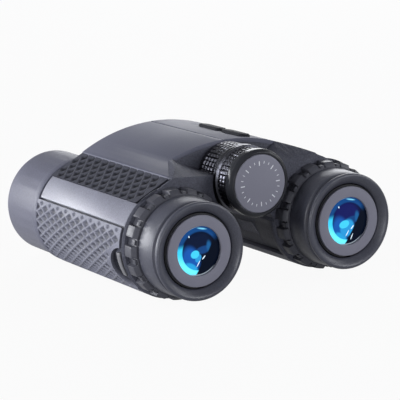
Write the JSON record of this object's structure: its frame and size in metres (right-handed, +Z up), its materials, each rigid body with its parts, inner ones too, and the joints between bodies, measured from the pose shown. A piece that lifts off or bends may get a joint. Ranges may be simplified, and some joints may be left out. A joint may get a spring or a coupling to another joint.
{
  "type": "roof prism binoculars",
  "caption": "Compact roof-prism binoculars: two armoured barrels folding on a central hinge, with a focusing knob, twist-up eyecups, a dioptre ring and press buttons.",
  "frame": {"origin": "middle of the footprint, on the surface that the two barrels lie on", "axes": "+X to the user's right, +Y the way the objectives look, +Z up"},
  "size_m": [0.109, 0.1192, 0.0536],
  "materials": {
    "armour": "soft matte rubberised armour, dark charcoal",
    "cover_paint": "satin dark grey paint over an aluminium die casting",
    "grip": "moulded rubber with a diamond pattern",
    "eyecup_rubber": "smooth satin eyecup rubber",
    "collar_black": "semi-gloss black moulded ring",
    "plate_grey": "flat grey anodised aluminium",
    "satin_metal": "satin machined aluminium",
    "black_metal": "black anodised aluminium inner parts",
    "knob_black": "black anodised aluminium, semi-gloss",
    "steel": "ground steel",
    "brass": "turned brass",
    "optical_glass": "polished optical glass",
    "coated_glass": "polished glass with a deep blue coating",
    "board": "green lacquered board"
  },
  "bodies": {
    "left_barrel": {"left_housing": "armour", "left_rear_shell": "armour", "left_top_cover": "cover_paint", "left_top_grip": "grip", "left_side_grip": "grip", "left_side_rail": "cover_paint", "left_strap_lug": "armour", "left_objective_tube": "armour", "left_objective_lens": "coated_glass", "left_objective_retainer": "black_metal", "left_prism_holder": "black_metal", "left_roof_prism": "optical_glass", "left_half_penta_prism": "optical_glass", "left_ocular_tube": "black_metal", "left_eye_lens": "coated_glass", "left_face_plate": "plate_grey", "left_field_lens": "optical_glass", "left_collar": "collar_black", "hinge_sleeve": "steel", "hinge_lock_ring": "steel", "spindle_bushes": "brass", "tripod_bush": "brass"},
    "right_barrel": {"right_housing": "armour", "right_rear_shell": "armour", "right_top_cover": "cover_paint", "right_top_grip": "grip", "right_side_grip": "grip", "right_side_rail": "cover_paint", "right_strap_lug": "armour", "right_objective_tube": "armour", "right_objective_lens": "coated_glass", "right_objective_retainer": "black_metal", "right_prism_holder": "black_metal", "right_roof_prism": "optical_glass", "right_half_penta_prism": "optical_glass", "right_ocular_tube": "black_metal", "right_eye_lens": "coated_glass", "right_face_plate": "plate_grey", "switch_board": "board"},
    "focus_knob": {"focus_knob": "knob_black", "knob_bezel": "knob_black", "knob_cap": "plate_grey", "focus_spindle": "steel"},
    "focus_nut": {"focus_nut": "brass"},
    "left_focus_carriage": {"left_focus_cell": "black_metal", "left_focus_lens": "optical_glass"},
    "right_focus_carriage": {"right_focus_cell": "black_metal", "right_focus_lens": "optical_glass"},
    "diopter_ring": {"diopter_ring": "collar_black"},
    "diopter_cell": {"right_diopter_cell": "black_metal", "right_field_lens": "optical_glass"},
    "left_click_ring": {"left_click_ring": "steel"},
    "left_eyecup": {"left_eyecup_sleeve": "black_metal", "left_eyecup_rubber": "eyecup_rubber"},
    "right_click_ring": {"right_click_ring": "steel"},
    "right_eyecup": {"right_eyecup_sleeve": "black_metal", "right_eyecup_rubber": "eyecup_rubber"},
    "front_button": {"front_button": "grip"},
    "rear_button": {"rear_button": "grip"}
  },
  "joints": [
    {"name": "fold", "type": "hinge", "parent": "left_barrel", "child": "right_barrel", "pos_m": [0, 0.0004, 0.04], "axis": [0, 1, 0], "range_deg": [0, 25]},
    {"name": "focus_turn", "type": "hinge", "parent": "left_barrel", "child": "focus_knob", "pos_m": [0, -0.0376, 0.04], "axis": [0, 1, 0], "range_deg": [-225, 225]},
    {"name": "nut_slide", "type": "slide", "parent": "left_barrel", "child": "focus_nut", "axis": [0, 1, 0], "range_m": [-0.0025, 0.0025]},
    {"name": "left_focus_slide", "type": "slide", "parent": "left_barrel", "child": "left_focus_carriage", "axis": [0, 1, 0], "range_m": [-0.0025, 0.0025]},
    {"name": "right_focus_slide", "type": "slide", "parent": "right_barrel", "child": "right_focus_carriage", "axis": [0, 1, 0], "range_m": [-0.0025, 0.0025]},
    {"name": "diopter_turn", "type": "hinge", "parent": "right_barrel", "child": "diopter_ring", "pos_m": [0.033, -0.043, 0.0215], "axis": [0, 1, 0], "range_deg": [-35, 35]},
    {"name": "diopter_slide", "type": "slide", "parent": "right_barrel", "child": "diopter_cell", "axis": [0, 1, 0], "range_m": [-0.0012, 0.0012]},
    {"name": "left_eyecup_out", "type": "slide", "parent": "left_barrel", "child": "left_click_ring", "axis": [0, -1, 0], "range_m": [0, 0.0065]},
    {"name": "left_eyecup_turn", "type": "hinge", "parent": "left_click_ring", "child": "left_eyecup", "pos_m": [-0.033, -0.0516, 0.0215], "axis": [0, 1, 0], "range_deg": [0, 120]},
    {"name": "right_eyecup_out", "type": "slide", "parent": "right_barrel", "child": "right_click_ring", "axis": [0, -1, 0], "range_m": [0, 0.0065]},
    {"name": "right_eyecup_turn", "type": "hinge", "parent": "right_click_ring", "child": "right_eyecup", "pos_m": [0.033, -0.0516, 0.0215], "axis": [0, 1, 0], "range_deg": [0, 120]},
    {"name": "front_button_press", "type": "slide", "parent": "right_barrel", "child": "front_button", "axis": [-0.1766, 0, -0.9843], "range_m": [0, 0.0005], "stiffness_N_per_m": 900},
    {"name": "rear_button_press", "type": "slide", "parent": "right_barrel", "child": "rear_button", "axis": [-0.1766, 0, -0.9843], "range_m": [0, 0.0005], "stiffness_N_per_m": 900}
  ],
  "couplings": [
    {"joint": "nut_slide", "follows": "focus_turn", "m_per_rad": 0.00063661},
    {"joint": "left_focus_slide", "follows": "focus_turn", "m_per_rad": 0.00063661},
    {"joint": "right_focus_slide", "follows": "focus_turn", "m_per_rad": 0.00063661},
    {"joint": "diopter_slide", "follows": "diopter_turn", "m_per_rad": 0.0019644},
    {"joint": "left_eyecup_turn", "follows": "left_eyecup_out", "rad_per_m": 322.21},
    {"joint": "right_eyecup_turn", "follows": "right_eyecup_out", "rad_per_m": 322.21}
  ]
}
